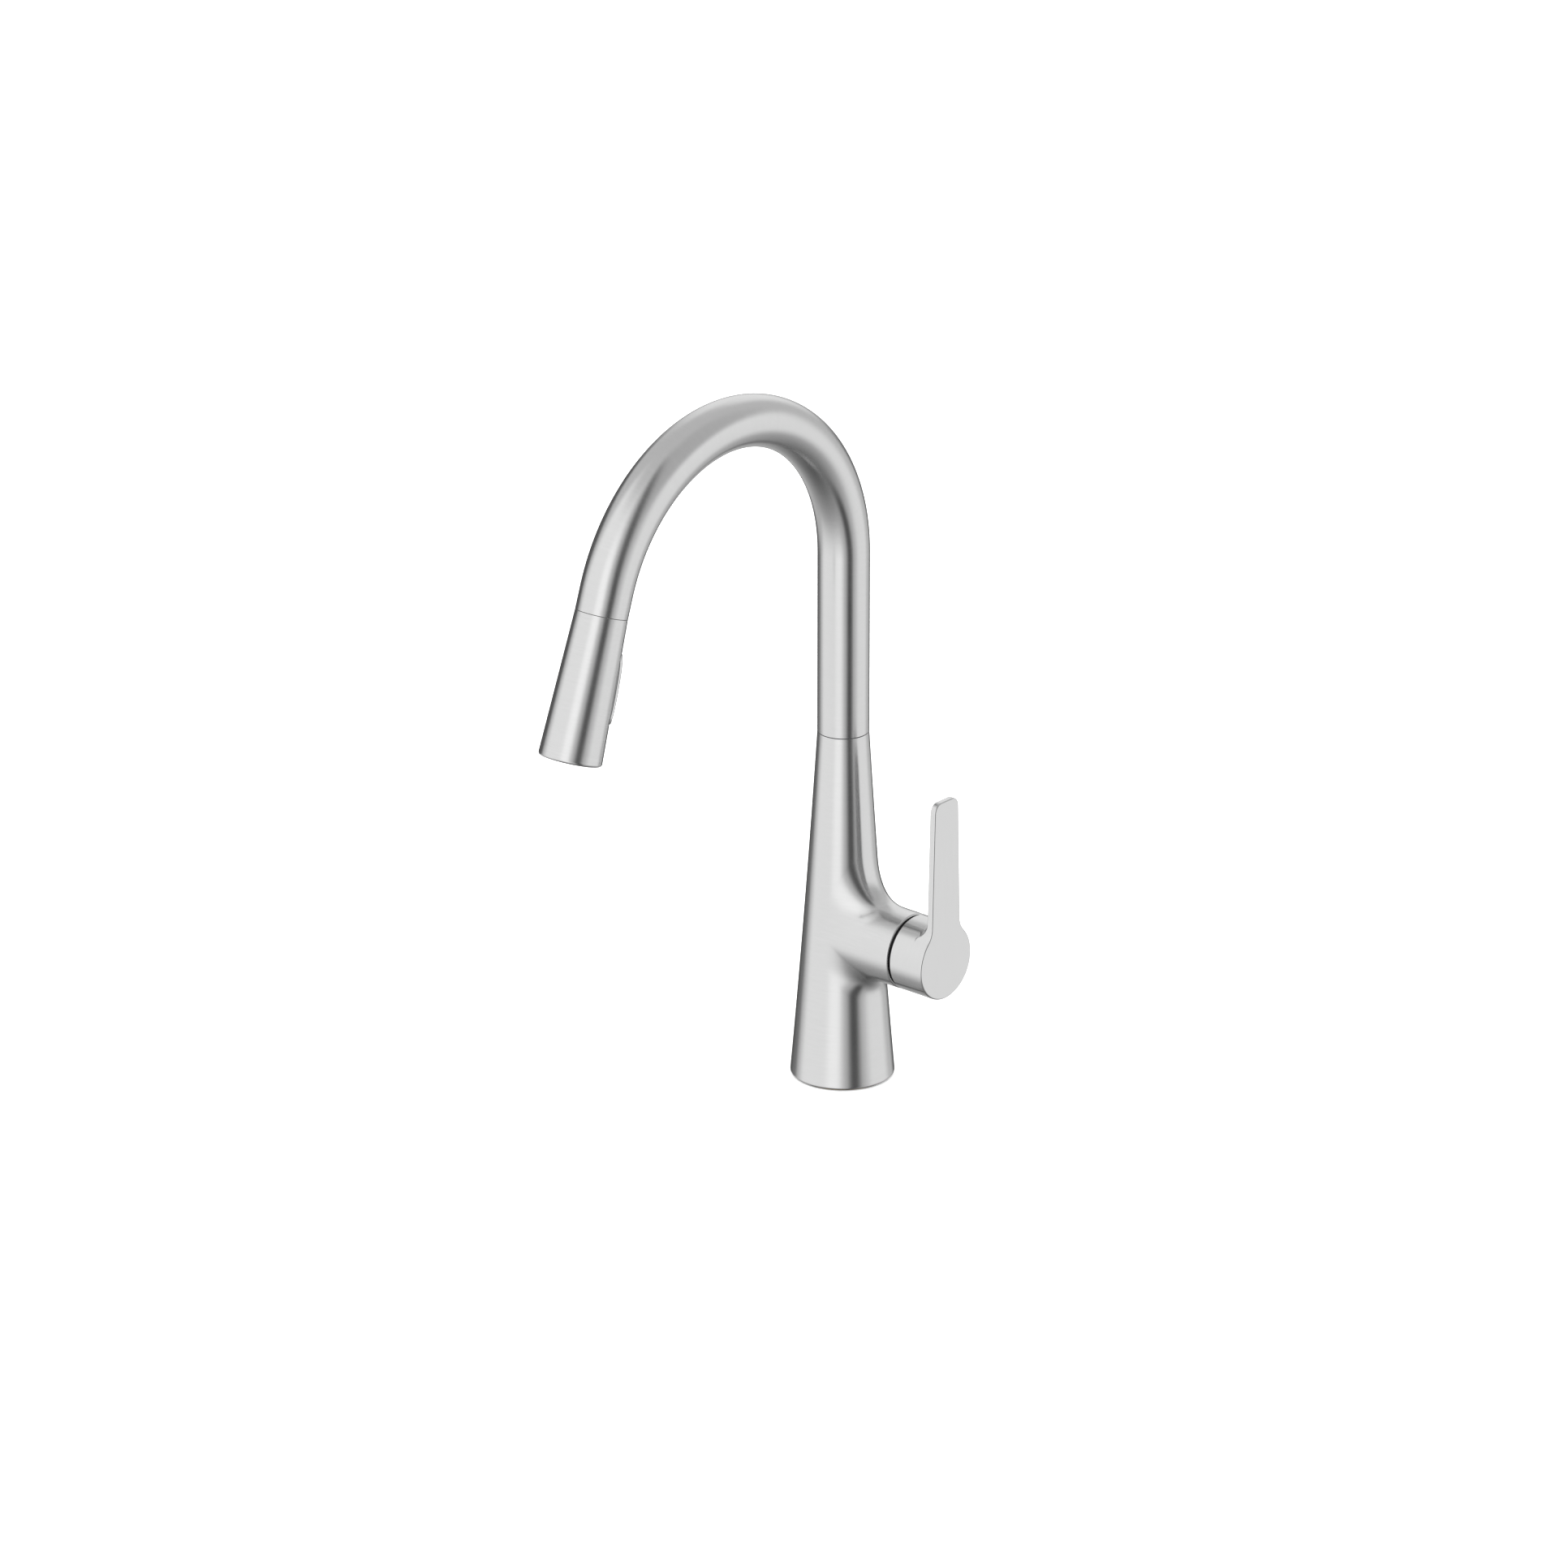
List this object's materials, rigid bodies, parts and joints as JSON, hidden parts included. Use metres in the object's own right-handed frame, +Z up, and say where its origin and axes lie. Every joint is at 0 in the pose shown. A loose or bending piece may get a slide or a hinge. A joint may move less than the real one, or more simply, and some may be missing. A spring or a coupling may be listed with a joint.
{
  "type": "pull down kitchen faucet",
  "caption": "Single-lever kitchen faucet: conical body, gooseneck spout that swivels, spray head that pulls out of the spout, side lever.",
  "frame": {"origin": "centre of the body's underside, on the deck's top face", "axes": "+Z up along the column; the spout points along -Y; the lever's boss points along +X"},
  "size_m": [0.1009, 0.2621, 0.5051],
  "materials": {
    "brushed_body": "brushed stainless, lines running round the cone",
    "brushed_spout": "brushed stainless, lines running round the tube",
    "brushed_head": "brushed stainless, lines running round the head",
    "brushed_handle": "brushed stainless",
    "brass": "turned",
    "nut_brass": "as machined",
    "steel": "plain",
    "black_rubber": "matt",
    "white_plastic": "moulded",
    "ceramic": "lapped ceramic",
    "dark_plastic": "moulded black",
    "button_grey": "satin metallised plastic",
    "nozzle_grey": "soft silicone",
    "aerator_grey": "moulded",
    "hose_braid": "woven nylon over rubber"
  },
  "bodies": {
    "body": {"body_shell": "brushed_body", "base_gasket": "black_rubber", "base_flange": "brass", "mounting_shank": "brass", "deck_washer": "black_rubber", "clamp_plate": "steel", "mounting_nut": "nut_brass", "jack_screws": "steel", "lower_bushing": "white_plastic", "upper_bushing": "white_plastic", "cartridge_base": "white_plastic", "seat_seals": "black_rubber", "fixed_disc": "ceramic", "cartridge_housing": "white_plastic", "bonnet_nut": "brass", "boss_trim_ring": "dark_plastic"},
    "spout": {"spout_adapter": "brass", "swivel_seals": "black_rubber", "swivel_clip": "steel", "swivel_washer": "dark_plastic", "spout_tube": "brushed_spout", "pullout_hose": "hose_braid", "hose_coupling": "brass", "dock_collar": "dark_plastic", "dock_magnet": "dark_plastic"},
    "sprayer": {"head_shell": "brushed_head", "dock_sleeve": "dark_plastic", "hose_nut": "brass", "check_valve": "white_plastic", "head_core": "dark_plastic", "button_pin": "steel", "spray_face": "dark_plastic", "face_seal": "black_rubber", "aerator": "aerator_grey", "spray_nozzles": "nozzle_grey"},
    "rocker": {"spray_button": "button_grey"},
    "diverter": {"diverter_spool": "dark_plastic"},
    "rotor": {"rotor": "white_plastic", "pivot_pin": "steel"},
    "disc": {"moving_disc": "ceramic"},
    "lever": {"stem": "steel", "handle": "brushed_handle", "grub_screw": "steel", "screw_plug": "dark_plastic"}
  },
  "joints": [
    {"name": "spout_swivel", "type": "hinge", "parent": "body", "child": "spout", "pos_m": [0, 0, 0.1986], "axis": [0, 0, 1], "continuous": true},
    {"name": "sprayer_pull", "type": "slide", "parent": "spout", "child": "sprayer", "axis": [0, -0.3256, -0.9455], "range_m": [0, 0.45]},
    {"name": "spray_rocker", "type": "hinge", "parent": "sprayer", "child": "rocker", "pos_m": [0.00737, -0.19681, 0.28296], "axis": [0.7314, -0.6448, 0.222], "range_deg": [-4.5, 4.5]},
    {"name": "diverter_shift", "type": "slide", "parent": "sprayer", "child": "diverter", "axis": [0, -0.3256, -0.9455], "range_m": [-0.0007, 0.0007]},
    {"name": "handle_temperature", "type": "hinge", "parent": "body", "child": "rotor", "pos_m": [0.027, 0, 0.0836], "axis": [1, 0, 0], "range_deg": [-45, 45]},
    {"name": "handle_lift", "type": "hinge", "parent": "rotor", "child": "lever", "pos_m": [0.0335, 0, 0.0836], "axis": [0, 1, 0], "range_deg": [0, 22]},
    {"name": "disc_shift", "type": "slide", "parent": "rotor", "child": "disc", "axis": [0, 0, 1], "range_m": [0, 0.0045]}
  ],
  "couplings": [
    {"joint": "diverter_shift", "follows": "spray_rocker", "m_per_rad": 0.0072},
    {"joint": "disc_shift", "follows": "handle_lift", "m_per_rad": 0.011219}
  ]
}
